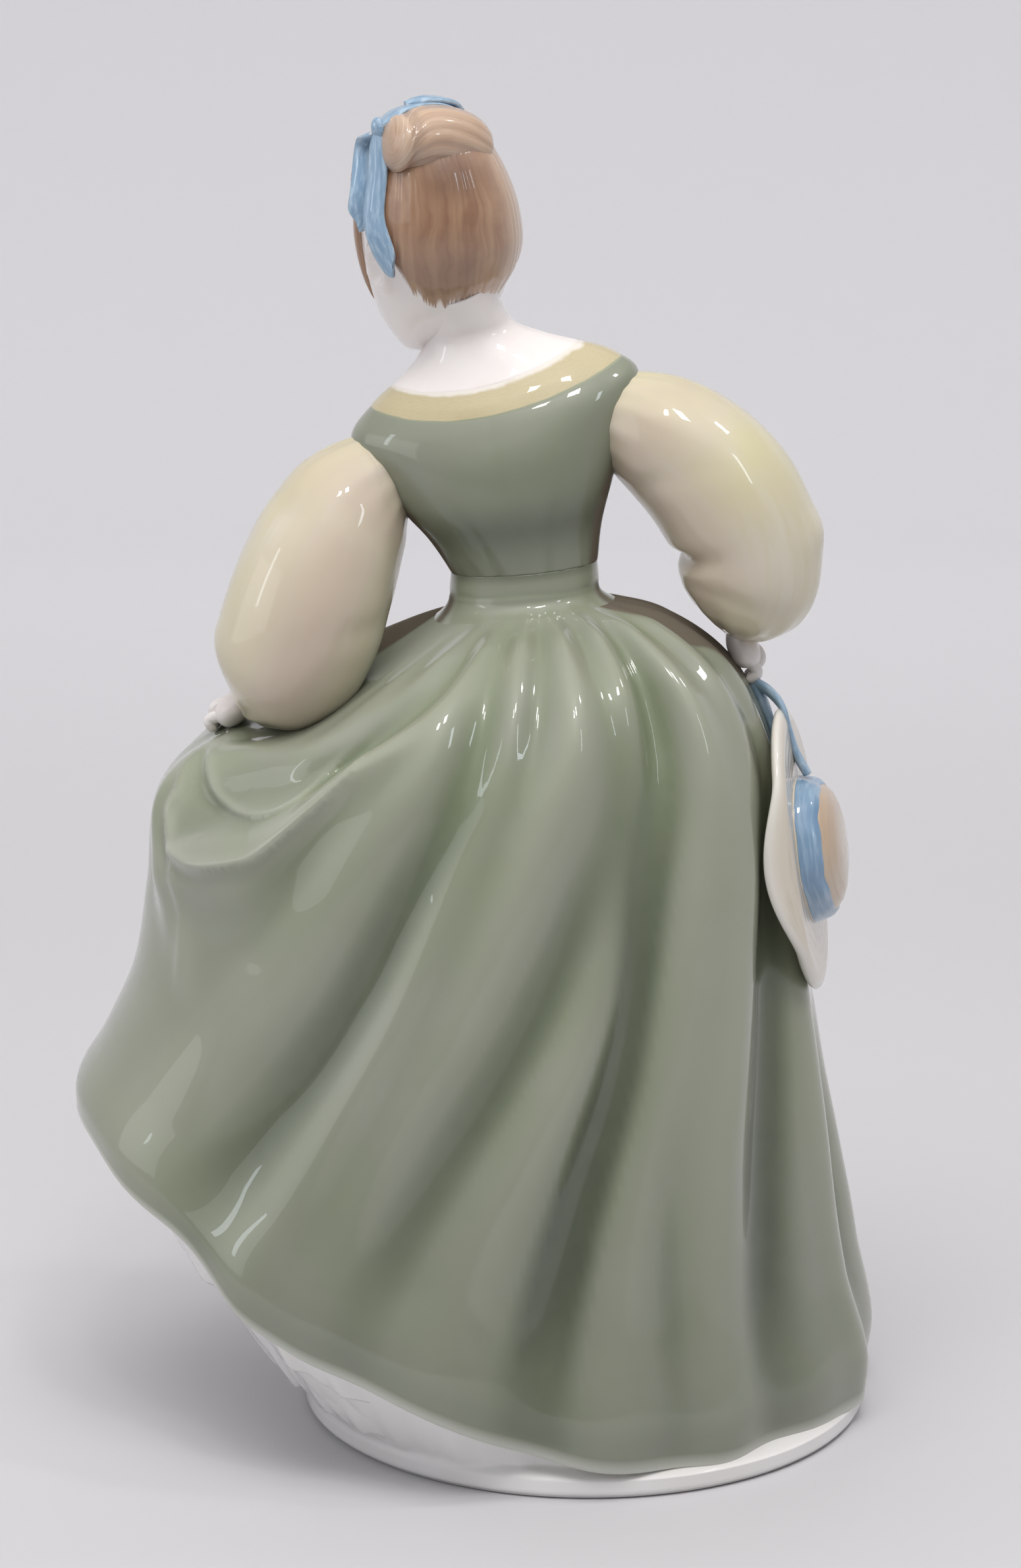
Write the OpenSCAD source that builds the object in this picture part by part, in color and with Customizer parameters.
// Bone china figurine of a lady in a full dress, cast in pieces and joined with slip.
// Millimetres, +Z up, origin at the centre of the base on the table.
// She faces +Y with her right hand on +X, lifts the skirt on the -X side and looks to that side.

/* [Base] */
// Radius of the base on the table
base_r = 40; // [36:0.5:44]
// Height of the base
base_h = 2.5; // [2:0.1:3]
// Width of the foot ring
foot_w = 5; // [3:0.5:9]
// Depth of the recess inside the foot ring
recess_h = 1; // [0.5:0.1:1.4]
// Diameter of the vent hole
vent_d = 5; // [3:0.5:8]

/* [Skirt] */
// Height of the seam between the skirt and the waistband
waist_z = 115.5; // [105:0.5:125]
// Distance of the waist from the middle of the base, towards the lifted side
waist_shift = 8.7; // [4:0.1:12]
// Half width of the waist
waist_w = 10.4; // [9:0.1:12]
// Half depth of the waist
waist_d = 8.6; // [7.5:0.1:10]
// Rise of the waist towards her right, in degrees
waist_tilt = 5; // [0:0.5:8]
// Reach of the hem on her right
hem_right = 40.5; // [39:0.5:44]
// Reach of the hem on the lifted side
hem_left = 72; // [66:0.5:78]
// Reach of the hem behind her
hem_back = 43; // [41:0.5:47]
// Reach of the hem in front of her
hem_front = 42; // [41:0.5:46]
// Height of the hem where it is lowest
hem_z = 3.4; // [3.2:0.1:6]
// How much higher the hem is on the lifted side
hem_lift = 41.5; // [34:0.5:46]
// Wall of the skirt cast
skirt_wall = 3; // [2.2:0.1:3.6]
// Depth of a full fold in the skirt
fold_depth = 3; // [2:0.1:3.6]
// Height of the swag ridge that the lifting hand pulls up
swag_depth = 2.4; // [1:0.1:3]

/* [Petticoat] */
// Wall of the petticoat cast
petticoat_wall = 2.4; // [1.8:0.1:3]
// Layer of slip between two joined casts
slip = 0.15; // [0.1:0.01:0.25]
// Thickness of the applied frills
frill_t = 1; // [0.8:0.1:1.4]
// How far the frills stand out
frill_out = 1.6; // [1:0.1:3]

/* [Bodice] */
// Height of the waistband
belt_h = 5; // [4:0.1:7]
// Height from the waistband to the root of the neck
bodice_h = 32; // [29:0.5:35]
// Half width across the shoulders
shoulder_w = 19.6; // [18:0.1:21]
// Half depth of the chest
chest_d = 11.2; // [10:0.1:12.5]
// Rise of the shoulders towards her right, in degrees
shoulder_tilt = 13.5; // [8:0.5:16]
// Lean of the trunk towards the lifted side
bodice_lean = 6; // [4:0.1:8]
// Radius of the neck
neck_r = 5.3; // [4.8:0.1:6]
// Length of the neck up to the middle of the head
neck_l = 14; // [13.2:0.1:15]
// Thickness of the draped collar
collar_t = 0.4; // [0.2:0.1:0.8]

/* [Head] */
// Half height of the head from chin to crown
head_h = 15.2; // [14.4:0.1:16]
// Half width of the head
head_w = 9.9; // [9.2:0.1:10.6]
// Half depth of the head
head_d = 11; // [10.4:0.1:11.8]
// Turn of the face towards the lifted side, in degrees
head_turn = 30; // [20:1:45]
// Sideways tilt of the head, in degrees
head_tilt = 8; // [2:0.5:12]
// Raising of the chin, in degrees, negative for a lowered chin
head_nod = -5; // [-10:0.5:4]
// Thickness of the hair over the skull
hair_t = 1.7; // [1.3:0.1:2.1]
// Half length of the roll of hair
roll_l = 7.6; // [6.8:0.1:8.4]
// Radius of the roll of hair
roll_r = 4.8; // [4.2:0.1:5.4]
// Width of the hair ribbon
ribbon_w = 3.2; // [2.6:0.1:4]
// Thickness of the hair ribbon
ribbon_t = 1.3; // [1:0.1:1.8]

/* [Arms] */
// Radius of the puffed left sleeve
left_sleeve_r = 11; // [10.2:0.1:11.6]
// Radius of the puffed right sleeve
right_sleeve_r = 10.1; // [9.4:0.1:10.8]
// Radius of the wrists
wrist_r = 2.7; // [2.3:0.1:3.2]
// Length of a closed hand
hand_l = 8; // [7:0.1:9.5]

/* [Bonnet] */
// Half length of the brim
brim_l = 20; // [18:0.5:22]
// Half width of the brim
brim_w = 15.5; // [14:0.5:17]
// Thickness of the brim
brim_t = 1.8; // [1.4:0.1:2.4]
// Radius of the crown
crown_r = 9.6; // [8.5:0.1:10.5]
// Height of the crown
crown_h = 5.6; // [5:0.1:7]
// Height of the ribbon band round the crown
band_h = 2.6; // [2:0.1:3.4]
// How far the ribbon band stands out from the crown
band_t = 0.8; // [0.5:0.1:1.2]
// Width of the ribbon that carries the bonnet
tie_w = 2.6; // [2:0.1:3.4]

/* [Hidden] */

// Steps round and along the lofted pieces
skirt_steps = 72;
skirt_rows = 20;
trunk_steps = 32;
head_steps = 24;
sleeve_steps = 20;
small_steps = 12;

green = [0.53, 0.58, 0.48];
yellow = [0.90, 0.86, 0.68];
cream = [0.88, 0.83, 0.73];
white = [0.93, 0.92, 0.91];
skin = [0.93, 0.88, 0.85];
brown = [0.62, 0.49, 0.40];
blue = [0.50, 0.64, 0.76];

// Share of the way from a to b
function mix(a, b, t) = a + (b - a) * t;
// Smooth step of x from 0 at a to 1 at b
function ease(a, b, x) =
    let (t = min(1, max(0, (x - a) / (b - a))))
    t * t * (3 - 2 * t);
// Bell curve of half width w
function bell(x, w) = exp(-(x / w) * (x / w));
// Angle brought into -180 to 180
function turned(a) =
    let (m = (a + 180) % 360)
    (m < 0 ? m + 360 : m) - 180;
function unit(v) = v / norm(v);
function middle(list) = [for (i = [0:2]) sum([for (p = list) p[i]]) / len(list)];
function sum(list, i = 0, total = 0) = i == len(list) ? total : sum(list, i + 1, total + list[i]);

// Smooth curve through knots [position, value]
function span(knots, t, i = 0) = (i >= len(knots) - 2 || t < knots[i + 1][0]) ? i : span(knots, t, i + 1);
function slope(knots, i) =
    let (a = max(i - 1, 0), b = min(i + 1, len(knots) - 1))
    (knots[b][1] - knots[a][1]) / (knots[b][0] - knots[a][0]);
function curve(knots, t) =
    let (i = span(knots, t), width = knots[i + 1][0] - knots[i][0], s = (t - knots[i][0]) / width)
    knots[i][1] * (2 * s * s * s - 3 * s * s + 1) + slope(knots, i) * width * (s * s * s - 2 * s * s + s)
    + knots[i + 1][1] * (3 * s * s - 2 * s * s * s) + slope(knots, i + 1) * width * (s * s * s - s * s);

// Cubic path between its first and last point, pulled by the two between them
function bow(p, t) =
    let (u = 1 - t)
    u * u * u * p[0] + 3 * u * u * t * p[1] + 3 * u * t * t * p[2] + t * t * t * p[3];

// Closed solid through rings listed from the top down, each running anticlockwise seen from above
module loft(rings, closed = false) {
    n = len(rings[0]);
    m = len(rings);
    last = closed ? m - 1 : m - 2;
    points = concat([for (r = rings) each r], closed ? [] : [middle(rings[0]), middle(rings[m - 1])]);
    sides = [for (j = [0:last], i = [0:n - 1])
        let (k = (i + 1) % n, row = j * n, next = ((j + 1) % m) * n)
        let (a = row + i, b = row + k, c = next + i, d = next + k)
        each [[a, b, c], [b, d, c]]];
    caps = closed ? [] : [for (i = [0:n - 1])
        each [[m * n, (i + 1) % n, i], [m * n + 1, (m - 1) * n + i, (m - 1) * n + (i + 1) % n]]];
    polyhedron(points, concat(sides, caps));
}

// Oval ring across a path at p, heading along way, with its first axis towards side
function cross_ring(p, way, side, a, b, steps) =
    let (w = unit(way), v = unit(cross(side, w)), u = cross(w, v))
    [for (i = [0:steps - 1])
        let (q = 360 * i / steps)
        p + u * a * cos(q) + v * b * sin(q)];

// One solid left of a piece after its neighbours have been cut away
module fitted() {
    resize([0, 0, 0]) difference() {
        children(0);
        children([1:$children - 1]);
    }
}

// Skirt

waist = [-waist_shift, 0, waist_z];
hem_middle = [(hem_right - hem_left) / 2, (hem_front - hem_back) / 2];
hem_half = [(hem_right + hem_left) / 2, (hem_front + hem_back) / 2];

// How far out and how far down the cloth has come, for a plain side and for the lifted side
reach_plain = [[0, 0], [0.1, 0.26], [0.22, 0.49], [0.34, 0.63], [0.46, 0.715], [0.6, 0.775],
    [0.74, 0.83], [0.86, 0.905], [0.95, 1], [1, 0.995]];
drop_plain = [[0, 0], [0.1, 0.03], [0.22, 0.09], [0.34, 0.185], [0.46, 0.31], [0.6, 0.5],
    [0.74, 0.68], [0.86, 0.835], [0.95, 0.94], [1, 1]];
reach_lifted = [[0, 0], [0.1, 0.2], [0.22, 0.41], [0.34, 0.61], [0.46, 0.765], [0.6, 0.8],
    [0.74, 0.84], [0.86, 0.925], [0.95, 0.995], [1, 1]];
drop_lifted = [[0, 0], [0.1, 0.115], [0.22, 0.215], [0.34, 0.265], [0.46, 0.365], [0.6, 0.55],
    [0.74, 0.72], [0.86, 0.86], [0.95, 0.95], [1, 1]];
// Share of the lift at an angle away from the highest place of the hem
lift_share = [[0, 1], [25, 0.95], [45, 0.77], [65, 0.46], [85, 0.27], [105, 0.07], [130, 0], [180, 0]];
lift_angle = 176;
lifted_angle = 190;
lifted_spread = 44;

// Folds: angle at the waist, angle at the hem, share of the full depth, half width in degrees,
// and the places along the cloth where the fold starts and fades out
folds = [
    [186, 226, 0.45, 6, 0.2, 0.75], [259, 214, 0.5, 9, 0.15, 2], [270, 226, -0.8, 8, 0.04, 2],
    [274, 237, 0.6, 5, 0.04, 2], [278, 241, -0.5, 5, 0.04, 2], [286, 244, 0.6, 9, 0.1, 2],
    [298, 254, -0.6, 8, 0.2, 2], [311, 262, 0.8, 8, 0.4, 2], [309, 279, -1.2, 6, 0.04, 2],
    [314, 288, 0.6, 8, 0.1, 2], [303, 300, -0.4, 5, 0.55, 2], [327, 308, 0.6, 8, 0.1, 2],
    [341, 318, -0.9, 8, 0.3, 2], [346, 345, 0.8, 6, 0.5, 2], [356, 356, -0.9, 8, 0.55, 2],
    [10, 9, 0.9, 9, 0.5, 2], [30, 30, -1, 11, 0.1, 2], [52, 52, 0.9, 12, 0.1, 2],
    [76, 78, -1.1, 11, 0.1, 2], [99, 104, 0.9, 13, 0.1, 2], [122, 130, -1, 11, 0.1, 2],
    [143, 150, 0.9, 12, 0.1, 2], [4, 4, 1.2, 12, 0.66, 1.05]
];
fold_fade = 0.26;
// A fold swings from its angle at the waist to its angle at the hem from this place downwards
fold_swing = 0.2;
// Share of their depth that the folds lose from this place down to the hem
hem_calm = 0.45;
calm_from = 0.6;
// Small gathers under the waistband: count round the waist, share of the full depth,
// and the middle and half width of the stretch that has them
gathers = 24;
gather_share = 0.22;
gather_angle = 303;
gather_spread = 55;

// Swag: the ridge runs from the lifting hand to the hip at these places along the cloth
swag_line = [[178, 0.6], [200, 0.55], [214, 0.52], [225, 0.49], [232, 0.44], [240, 0.36], [260, 0.2]];
swag_ridge = 0.05;
swag_hollow = 0.11;

function hem_height(a) = hem_z + hem_lift * curve(lift_share, abs(turned(a - lift_angle)));
function lifted(a) = bell(turned(a - lifted_angle), lifted_spread);

// Smooth form of the skirt at angle a and place t from the waist to the hem
function skirt_form(a, t) =
    let (g = mix(curve(reach_plain, t), curve(reach_lifted, t), lifted(a)),
        k = mix(curve(drop_plain, t), curve(drop_lifted, t), lifted(a)),
        x = mix(waist.x, hem_middle.x, g) + mix(waist_w, hem_half.x, g) * cos(a),
        y = mix(waist.y, hem_middle.y, g) + mix(waist_d, hem_half.y, g) * sin(a),
        rise = (1 - ease(0, 0.4, t)) * tan(waist_tilt) * (x - waist.x))
    [x, y, mix(waist_z, hem_height(a), k) + rise];

function skirt_normal(a, t) =
    let (da = 0.5, dt = 0.004, u = min(1 - dt, max(dt, t)))
    unit(cross(skirt_form(a, u - dt) - skirt_form(a, u + dt), skirt_form(a - da, u) - skirt_form(a + da, u)));

function fold_relief(a, t) = fold_depth * (1 - hem_calm * ease(calm_from, 1, t)) * sum([for (f = folds)
    f[2] * ease(f[4], f[4] + fold_fade, t) * (1 - ease(f[5] - fold_fade, f[5], t))
        * bell(turned(a - mix(f[0], f[1], ease(fold_swing, 1, t))), f[3])]);
function gather_relief(a, t) = fold_depth * gather_share * ease(0, 0.1, t) * (1 - ease(0.2, 0.5, t))
    * bell(turned(a - gather_angle), gather_spread) * cos(gathers * (a - gather_angle));
function swag_relief(a, t) =
    let (last = len(swag_line) - 1,
        along = t - curve(swag_line, min(swag_line[last][0], max(swag_line[0][0], a))),
        window = ease(194, 212, a) * (1 - ease(240, 262, a)))
    swag_depth * window * (bell(along, swag_ridge) - 1.1 * bell(along + swag_hollow, 0.07));

function skirt_relief(a, t) = fold_relief(a, t) + gather_relief(a, t) + swag_relief(a, t);
function skirt_outer(a, t) = skirt_form(a, t) + skirt_normal(a, t) * skirt_relief(a, t);
function skirt_inner(a, t) = skirt_form(a, t) + skirt_normal(a, t) * (skirt_relief(a, t) - skirt_wall);
function round_angle(i) = 360 * i / skirt_steps;

// The petticoat lines the skirt between these two places, so the inside of the skirt has rows there
petticoat_top = 0.8;
hem_tuck = 0.985;
inner_places = [1, hem_tuck, mix(petticoat_top, hem_tuck, 0.5), petticoat_top, 0.55, 0.3, 0];

function skirt_rings() =
    [for (j = [0:skirt_rows]) [for (i = [0:skirt_steps - 1]) skirt_outer(round_angle(i), j / skirt_rows)]];
// Skirt filled solid, for fitting what lies on it
module skirt_block() {
    loft(skirt_rings());
}
module skirt() {
    inner = [for (t = inner_places) [for (i = [0:skirt_steps - 1])
        t == 0 ? waist_point(round_angle(i), 1) - [0, 0, skirt_wall] : skirt_inner(round_angle(i), t)]];
    color(green) loft(concat(skirt_rings(), inner));
}

// Waistband and bodice

function waist_point(a, share) =
    let (x = waist_w * share * cos(a))
    [waist.x + x, waist.y + waist_d * share * sin(a), waist_z + x * tan(waist_tilt)];

belt_swell = [[0, 1], [0.25, 1.03], [0.5, 1.005], [0.75, 1.01], [1, 0.97]];

module waistband() {
    rows = 6;
    color(green) loft([for (j = [rows:-1:0]) [for (i = [0:trunk_steps - 1])
        waist_point(trunk_angle(i), curve(belt_swell, j / rows)) + [0, 0, belt_h * j / rows]]]);
}

// Trunk rings: place along the trunk, then shares of height, width, depth, lean, tilt and dip
trunk_rise = [[0, 0], [0.2, 0.16], [0.4, 0.34], [0.55, 0.52], [0.68, 0.69], [0.8, 0.81], [0.9, 0.92], [1, 1]];
trunk_width = [[0, 0.515], [0.2, 0.61], [0.4, 0.76], [0.55, 0.88], [0.68, 1],
    [0.8, 0.81], [0.9, 0.48], [1, 0.285]];
trunk_depth = [[0, 0.74], [0.2, 0.86], [0.4, 0.98], [0.55, 1], [0.68, 0.9],
    [0.8, 0.76], [0.9, 0.57], [1, 0.46]];
trunk_dip = [[0, 0], [0.4, 0.01], [0.55, 0.04], [0.68, 0.08], [0.8, 0.09], [0.9, 0.06], [1, 0.02]];
// Places of the collar's edges along the trunk: the lower one is higher at the shoulders and on her left
collar_from = 0.745;
collar_rise = 0.02;
collar_slant = 0.02;
collar_to = 0.855;
// How far the root of the neck lies in front of the waist, and to the lifted side of the trunk's middle line
neck_forward = 2;
neck_shift = 1.4;
trunk_foot = [waist.x, waist.y, waist_z + belt_h];

function trunk_point(a, t, swell = 0) =
    let (w = (shoulder_w * curve(trunk_width, t) + swell) * cos(a),
        d = (chest_d * curve(trunk_depth, t) + swell) * sin(a),
        tilt = mix(waist_tilt, shoulder_tilt, ease(0, 0.68, t)),
        dip = bodice_h * curve(trunk_dip, t) * sin(a) * sin(a))
    trunk_foot + [w - bodice_lean * t - neck_shift * ease(0.8, 1, t), d + neck_forward * t * t,
        bodice_h * curve(trunk_rise, t) + w * tan(tilt) - dip];
function collar_edge(a) = collar_from + collar_rise * cos(a) * cos(a) - collar_slant * cos(a);
function trunk_angle(i) = 360 * i / trunk_steps;

module bodice_solid() {
    rows = 8;
    loft([for (j = [rows:-1:0]) [for (i = [0:trunk_steps - 1])
        trunk_point(trunk_angle(i), collar_edge(trunk_angle(i)) * j / rows)]]);
}
module collar_solid() {
    swell = [[0, 0], [0.2, 1], [0.8, 1], [1, 0]];
    rows = 4;
    loft([for (j = [rows:-1:0]) [for (i = [0:trunk_steps - 1])
        trunk_point(trunk_angle(i), mix(collar_edge(trunk_angle(i)), collar_to, j / rows),
            collar_t * curve(swell, j / rows))]]);
}
module bodice() {
    color(green) bodice_solid();
}
module collar() {
    color(yellow) collar_solid();
}

// Neck and head

neck_root = mix(trunk_point(0, 1), trunk_point(180, 1), 0.5);
head_middle = neck_root + [-0.335, -0.02, 0.88] * neck_l;
// The neck meets the skull behind and below its middle
neck_top = head_middle + [0.24 * head_d, -0.3 * head_d, -0.35 * head_h];

module bust() {
    flare = [[0, 1.1], [0.35, 0.97], [1, 1.04]];
    rows = 4;
    neck = [for (j = [rows:-1:1])
        cross_ring(mix(neck_root, neck_top, j / rows), neck_root - neck_top, [1, 0, 0],
            neck_r * curve(flare, j / rows), neck_r * curve(flare, j / rows), trunk_steps)];
    color(skin) fitted() {
        loft(concat(neck, [for (j = [rows:-1:0]) [for (i = [0:trunk_steps - 1])
            trunk_point(trunk_angle(i), mix(collar_to, 1, j / rows))]]));
        head_solid();
        hair_solid();
    }
}

// Puts a piece that is modelled face forwards round the middle of the head into its place
module on_head() {
    translate(head_middle) rotate([head_nod, -head_tilt, head_turn]) children();
}

// Head rings from the crown to the chin: height, half width, front and back as shares of the half sizes
skull = [[1, 0.08, 0.05, -0.2], [0.95, 0.36, 0.3, -0.46], [0.83, 0.61, 0.62, -0.75], [0.6, 0.83, 0.87, -0.97],
    [0.3, 0.96, 0.95, -1.05], [0, 1, 0.95, -1.02], [-0.3, 0.96, 0.93, -0.9], [-0.56, 0.85, 0.91, -0.7],
    [-0.78, 0.64, 0.88, -0.36], [-0.93, 0.4, 0.82, 0.1], [-1, 0.14, 0.66, 0.36]];
nose = [[-1, 0], [-0.5, 0], [-0.4, 0.2], [-0.3, 0.22], [-0.1, 0.1], [0.05, 0.02], [0.15, 0], [1, 0]];

function skull_row(u, column) =
    curve([for (i = [0:len(skull) - 1]) [i / (len(skull) - 1), skull[i][column]]], u);
// Ring of the head, with the nose pushed out of the middle of its front
function head_ring(u) =
    let (z = skull_row(u, 0), w = skull_row(u, 1) * head_w,
        f = skull_row(u, 2) * head_d, b = skull_row(u, 3) * head_d)
    [for (i = [0:head_steps - 1])
        let (a = 360 * i / head_steps, half = (f - b) / 2,
            push = head_d * curve(nose, z) * bell(w * cos(a) / head_w, 0.16) * ease(0, 0.6, sin(a)))
        [w * cos(a), (f + b) / 2 + half * sin(a) + push, z * head_h]];

module head_solid() {
    rows = 15;
    on_head() loft([for (j = [0:rows]) head_ring(j / rows)]);
}
module head() {
    color(skin) head_solid();
}

// Point over the skull, raised by swell, at place u from the crown to the chin and angle a round the head
function skull_point(u, a, swell) =
    let (h = skull_row(u, 0), w = skull_row(u, 1) * head_w + swell,
        f = skull_row(u, 2) * head_d + swell, b = skull_row(u, 3) * head_d - swell)
    [w * cos(a), (f + b) / 2 + (f - b) / 2 * sin(a), h * head_h + swell * ease(0.5, 1, h)];

// Hairline: height on the head and angle from the middle of the back where the hair ends
hairline = [[-1, -20], [-0.7, -20], [-0.62, 34], [-0.5, 50], [-0.22, 64], [0.1, 77], [0.36, 92], [0.52, 115],
    [0.6, 145], [0.66, 200], [1, 200]];
// The shell of hair dives into the head over this many degrees past the hairline, and thins towards the nape
hair_dive = 7;
nape_share = 0.3;
function hair_swell(u, a) =
    let (h = skull_row(u, 0), inside = lookup(h, hairline) - abs(turned(a - 270)))
    mix(-hair_t, hair_t * mix(nape_share, 1, ease(-0.65, -0.05, h)), ease(-hair_dive, hair_dive, inside));

module hair_solid() {
    rows = 12;
    reach = 0.79;
    on_head() loft([for (j = [0:rows]) [for (i = [0:trunk_steps - 1])
        let (u = reach * j / rows, a = trunk_angle(i))
        skull_point(u, a, hair_swell(u, a))]]);
}
module hair() {
    color(brown) fitted() {
        hair_solid();
        head_solid();
    }
}

// The roll lies across the back of the crown and dips towards her right
roll_dip = 11;
roll_middle = [-0.1 * head_w, -0.64 * head_d, 0.88 * head_h];
roll_way = [cos(roll_dip), 0, -sin(roll_dip)];
roll_up = [sin(roll_dip), 0, cos(roll_dip)];
// Point of the roll: share of its half length, then shares of its radius forwards and upwards
function on_roll(along, forward, up) =
    roll_middle + roll_way * roll_l * along + [0, roll_r * forward, 0] + roll_up * roll_r * up;
module roll_solid() {
    rows = 9;
    on_head() loft([for (j = [0:rows])
        let (q = 180 * j / rows, r = roll_r * pow(max(0.06, sin(q)), 0.7))
        cross_ring(on_roll(-cos(q), 0, -0.2 * cos(q) * cos(q)), roll_way, roll_up, 0.95 * r, r, small_steps)]);
}
module hair_roll() {
    color(brown) fitted() {
        roll_solid();
        hair_solid();
    }
}

// Ribbon pieces lie on the hair: each is a flat oval carried along its own path over the head
knot = on_roll(-1, 0.45, 0.3);
module ribbon(path, lie, width) {
    rows = 9;
    swell = [[0, 0.25], [0.12, 0.9], [0.5, 1], [0.85, 0.95], [1, 0.3]];
    on_head() loft([for (j = [0:rows])
        let (t = j / rows, way = curve(path, min(1, t + 0.02)) - curve(path, max(0, t - 0.02)))
        cross_ring(curve(path, t), way, curve(lie, t),
            width / 2 * curve(swell, t), ribbon_t / 2, small_steps)]);
}
band_path = [[0, knot], [0.3, on_roll(-0.55, 0.55, 0.8)], [0.65, on_roll(0.1, 0.55, 0.98)],
    [1, on_roll(0.8, 0.55, 0.62)]];
module hair_band() {
    color(blue) fitted() {
        ribbon(band_path, [[0, [0, 1, 0]], [1, [0, 1, 0]]], ribbon_w * 1.5);
        roll_solid();
        hair_solid();
    }
}
// Point just off the hair
function over_hair(u, a) = skull_point(u, a, hair_t + 0.6 * ribbon_t);
tail_back_path = [[0, knot], [0.3, over_hair(0.28, 202)], [0.55, over_hair(0.39, 200)],
    [0.78, over_hair(0.47, 204)], [1, over_hair(0.55, 211)]];
tail_front_path = [[0, knot + [-0.3, 0.6, -0.6]], [0.3, over_hair(0.21, 184)], [0.65, over_hair(0.32, 188)],
    [1, over_hair(0.41, 185)]];
// The tails stand out from the hair, turned towards the back
tail_back_lie = [[0, [-0.55, 0.84, 0]], [1, [-0.55, 0.84, 0]]];
tail_front_lie = [[0, [-0.7, 0.7, 0]], [1, [-0.7, 0.7, 0]]];
module tail_back_solid() {
    ribbon(tail_back_path, tail_back_lie, ribbon_w);
}
module ribbon_tail_back() {
    color(blue) fitted() {
        tail_back_solid();
        hair_solid();
        head_solid();
        roll_solid();
        hair_band();
    }
}
module ribbon_tail_front() {
    color(blue) fitted() {
        ribbon(tail_front_path, tail_front_lie, ribbon_w);
        hair_solid();
        head_solid();
        roll_solid();
        hair_band();
        tail_back_solid();
    }
}

// Arms

// The hands grip the skirt at these places, and each arm starts inside the trunk
left_grip = skirt_outer(177, 0.34);
right_grip = skirt_outer(4, 0.24);
left_wrist = left_grip + hand_l * [0.6, -0.15, 0.6];
right_wrist = right_grip + hand_l * [-0.12, 0, 0.72];
left_shoulder = trunk_point(180, 0.47) + [0.8, 0.5, 3.2];
right_shoulder = trunk_point(0, 0.56) + [-4, 0.5, 0.5];
sleeve_swell = [[0, 0.5], [0.06, 0.62], [0.2, 0.84], [0.45, 0.99], [0.66, 1], [0.83, 0.89],
    [0.94, 0.5], [1, 0.25]];

module sleeve(path, r) {
    rows = 13;
    loft([for (j = [0:rows])
        let (t = j / rows, e = 0.02, way = bow(path, t + e) - bow(path, t - e),
            s = r * curve(sleeve_swell, t))
        cross_ring(bow(path, t), way, [0, 1, 0], s, s, sleeve_steps)]);
}
left_arm = [left_shoulder, left_shoulder + left_sleeve_r * [-1.13, -0.1, -0.61],
    left_wrist + left_sleeve_r * [0.85, -0.84, 0.5], left_wrist];
right_arm = [right_shoulder, right_shoulder + right_sleeve_r * [1.37, -0.1, -0.38],
    right_wrist + right_sleeve_r * [0.55, -0.32, 1.5], right_wrist];
module left_sleeve_solid() {
    sleeve(left_arm, left_sleeve_r);
}
module right_sleeve_solid() {
    sleeve(right_arm, right_sleeve_r);
}
module left_sleeve() {
    color(cream) fitted() {
        left_sleeve_solid();
        bodice_solid();
        collar_solid();
        skirt_block();
    }
}
module right_sleeve() {
    color(cream) fitted() {
        right_sleeve_solid();
        bodice_solid();
        collar_solid();
        skirt_block();
    }
}

// Closed hand: an oval carried from the wrist over the knuckles to the grip
hand_swell = [[0, 0.95], [0.25, 1], [0.5, 1.3], [0.75, 1.2], [1, 0.7]];
module hand(path) {
    rows = 8;
    loft([for (j = [0:rows])
        let (t = j / rows, e = 0.02, s = wrist_r * curve(hand_swell, t),
            way = curve(path, min(1, t + e)) - curve(path, max(0, t - e)))
        cross_ring(curve(path, t), way, [0, 1, 0], s * 1.15, s * 0.85, small_steps)]);
}
left_hand_path = [[0, mix(left_wrist, left_arm[2], 0.26)], [0.35, left_wrist + wrist_r * [0.1, 0.06, 0.04]],
    [0.7, left_grip + hand_l * [0.08, 0.08, 0.5]], [1, left_grip]];
right_hand_path = [[0, mix(right_wrist, right_arm[2], 0.25)], [0.35, right_wrist],
    [0.7, right_grip + hand_l * [0.1, 0.1, 0.42]], [1, right_grip]];
module left_hand() {
    color(skin) fitted() {
        hand(left_hand_path);
        left_sleeve_solid();
        skirt_block();
    }
}
module right_hand() {
    color(skin) fitted() {
        hand(right_hand_path);
        right_sleeve_solid();
        skirt_block();
    }
}

// Bonnet: lies against her right side, brim on the skirt and crown outwards

bonnet_angle = 353;
bonnet_place = 0.455;
// Height of the seat above the smooth form of the skirt, in depths of a fold
bonnet_stand = -0.1;
bonnet_seat = skirt_form(bonnet_angle, bonnet_place)
    + skirt_normal(bonnet_angle, bonnet_place) * fold_depth * bonnet_stand;
bonnet_turn = -11;
bonnet_lean = 9;
module on_bonnet() {
    translate(bonnet_seat) rotate([0, 0, bonnet_turn]) rotate([0, 90 - bonnet_lean, 0]) children();
}
// Crown in section: share of its height and share of its radius
crown_table = [[0, 1.08], [0.1, 1.03], [0.25, 0.99], [0.45, 0.95], [0.6, 0.89], [0.75, 0.78], [0.87, 0.62],
    [0.95, 0.4], [0.99, 0.18], [1, 0]];
function crown_edge(h) = crown_r * lookup(h / crown_h, crown_table);
// The brim is flat under the crown and turns down towards the skirt past that seat
seat_w = crown_r * crown_table[0][1] + band_t + 0.2;
brim_bend = 6;
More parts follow.
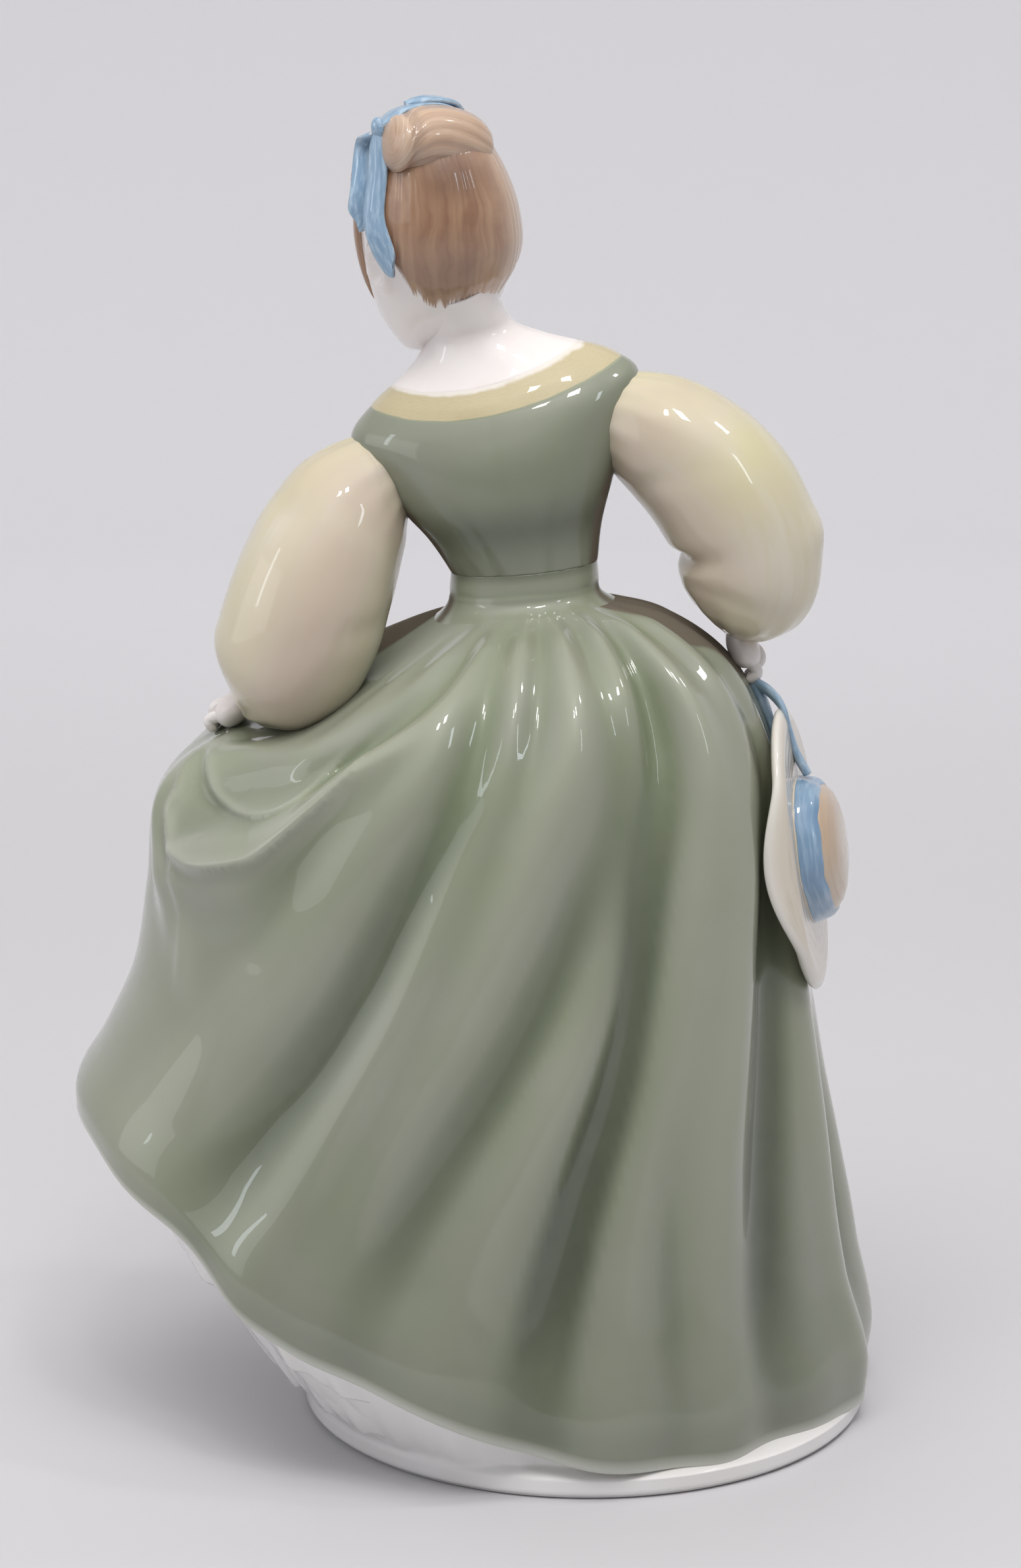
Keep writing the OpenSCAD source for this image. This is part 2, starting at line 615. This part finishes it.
// Oval ring of the brim at share s of its size and height h
function brim_ring(s, h) = [for (i = [0:head_steps - 1])
    let (a = 360 * i / head_steps, y = brim_w * s * sin(a), past = max(0, abs(y) - seat_w))
    [brim_l * s * cos(a), y, h - past * past / brim_bend]];
module brim_solid() {
    seat = seat_w / brim_w;
    on_bonnet() loft([brim_ring(seat, brim_t), brim_ring(0.88, brim_t), brim_ring(0.97, brim_t * 0.75),
        brim_ring(1, brim_t * 0.3), brim_ring(0.97, 0), brim_ring(seat, 0)]);
}
module bonnet_brim() {
    color(cream) fitted() {
        brim_solid();
        skirt_block();
        right_hand();
    }
}
module bonnet_crown() {
    color(cream) on_bonnet() translate([0, 0, brim_t]) rotate_extrude($fn = 64)
        polygon(concat([[0, 0]], [for (k = crown_table) [crown_r * k[1], crown_h * k[0]]]));
}
// The band follows the crown inside and is rounded outside
module bonnet_band() {
    inside = concat([for (k = crown_table) if (k[0] * crown_h < band_h) k[0] * crown_h], [band_h]);
    outside = [[0, 0.85], [0.2, 1], [0.75, 1], [0.95, 0.6]];
    color(blue) on_bonnet() translate([0, 0, brim_t]) rotate_extrude($fn = 64)
        polygon(concat([for (k = outside) [crown_edge(band_h * k[0]) + band_t * k[1], band_h * k[0]]],
            [for (i = [len(inside) - 1:-1:0]) [crown_edge(inside[i]), inside[i]]]));
}
// Ribbon on the skirt: place along the ribbon, then angle and place along the cloth
tie_t = 1.8;
tie_path = [[0, [3, 0.25]], [0.35, [2, 0.3]], [0.7, [0, 0.345]], [1, [-3, 0.39]]];
module bonnet_ribbon() {
    rows = 9;
    color(blue) fitted() {
        loft([for (j = [0:rows])
            let (t = j / rows, here = curve(tie_path, t), next = curve(tie_path, t + 0.02),
                p = skirt_outer(turned(here[0]), here[1]),
                way = skirt_outer(turned(next[0]), next[1]) - p,
                out = skirt_normal(turned(here[0]), here[1]))
            cross_ring(p + out * tie_t / 4, way, out, tie_t / 2, tie_w / 2, small_steps)]);
        skirt_block();
        right_hand();
        brim_solid();
        bonnet_crown();
        bonnet_band();
    }
}

// Petticoat, frills and base

// Rounding of the outer edge of the base
edge_r = 1;
// Place along the petticoat where it leaves the skirt
petticoat_bend = 0.4;
// Sag of the petticoat below a straight line to its foot, as a share of its drop
petticoat_sag = 0.08;
function petticoat_point(a, s, inset) =
    let (t = mix(petticoat_top, hem_tuck, min(1, s / petticoat_bend)),
        under = skirt_form(a, t) + skirt_normal(a, t) * (skirt_relief(a, t) - skirt_wall - slip - inset),
        heading = atan2(under.y, under.x),
        reach = min(norm([under.x, under.y]), base_r - edge_r - inset),
        foot = [reach * cos(heading), reach * sin(heading), base_h],
        k = max(0, (s - petticoat_bend) / (1 - petticoat_bend)))
    mix(under, foot, k) - [0, 0, 4 * k * (1 - k) * petticoat_sag * max(0, under.z - base_h)];

module petticoat() {
    rows = 5;
    outer = [for (j = [0:rows]) [for (i = [0:skirt_steps - 1]) petticoat_point(round_angle(i), j / rows, 0)]];
    inner = [for (s = [1, petticoat_bend, 0]) [for (i = [0:skirt_steps - 1])
        petticoat_point(round_angle(i), s, petticoat_wall)]];
    color(white) loft(concat(outer, inner), closed = true);
}

frill_from = 118;
frill_to = 262;
frill_steps = 55;
frill_waves = 11;
// Applied strip on the petticoat between places s0 and s1, standing out towards its lower edge in waves
module frill(s0, s1, out, phase) {
    rows = 2;
    function frill_point(i, j, t) =
        let (a = mix(frill_from, frill_to, i / frill_steps), s = mix(s0, s1, j / rows),
            p = petticoat_point(a, s, 0), n = petticoat_normal(a, s),
            fade = ease(0, 0.15, i / frill_steps) * (1 - ease(0.85, 1, i / frill_steps)),
            wave = 0.55 + 0.45 * cos(360 * frill_waves * i / frill_steps + phase))
        p + n * (slip + t + out * fade * wave * pow(j / rows, 1.3));
    loft([for (i = [0:frill_steps])
        concat([for (j = [0:rows]) frill_point(i, j, 0)],
            [for (j = [rows:-1:0]) frill_point(i, j, frill_t)])]);
}
function petticoat_normal(a, s) =
    let (da = 1, ds = 0.02, u = min(1 - ds, max(ds, s)))
    unit(cross(petticoat_point(a, u - ds, 0) - petticoat_point(a, u + ds, 0),
        petticoat_point(a - da, u, 0) - petticoat_point(a + da, u, 0)));
module frill_upper() {
    color(white) fitted() {
        frill(0.46, 0.64, frill_out, 0);
        skirt();
    }
}
module frill_lower() {
    color(white) fitted() {
        frill(0.66, 0.88, frill_out * 0.8, 90);
        skirt();
    }
}

// Foot in section: flat ring on the table, recess inside it, rounded outer edge
module base() {
    color(white) difference() {
        rotate_extrude($fn = 96) difference() {
            union() {
                square([base_r - edge_r, base_h]);
                translate([0, edge_r]) square([base_r, base_h - edge_r]);
                translate([base_r - edge_r, edge_r]) circle(edge_r, $fn = 32);
            }
            translate([-1, -1]) square([base_r - foot_w + 1, recess_h + 1]);
        }
        translate([0, base_r * 0.3, -1]) cylinder(d = vent_d, h = base_h + 2, $fn = 48);
    }
}

base();
petticoat();
frill_lower();
frill_upper();
skirt();
waistband();
bodice();
collar();
bust();
head();
hair();
hair_roll();
hair_band();
ribbon_tail_back();
ribbon_tail_front();
left_sleeve();
right_sleeve();
left_hand();
right_hand();
bonnet_brim();
bonnet_crown();
bonnet_band();
bonnet_ribbon();
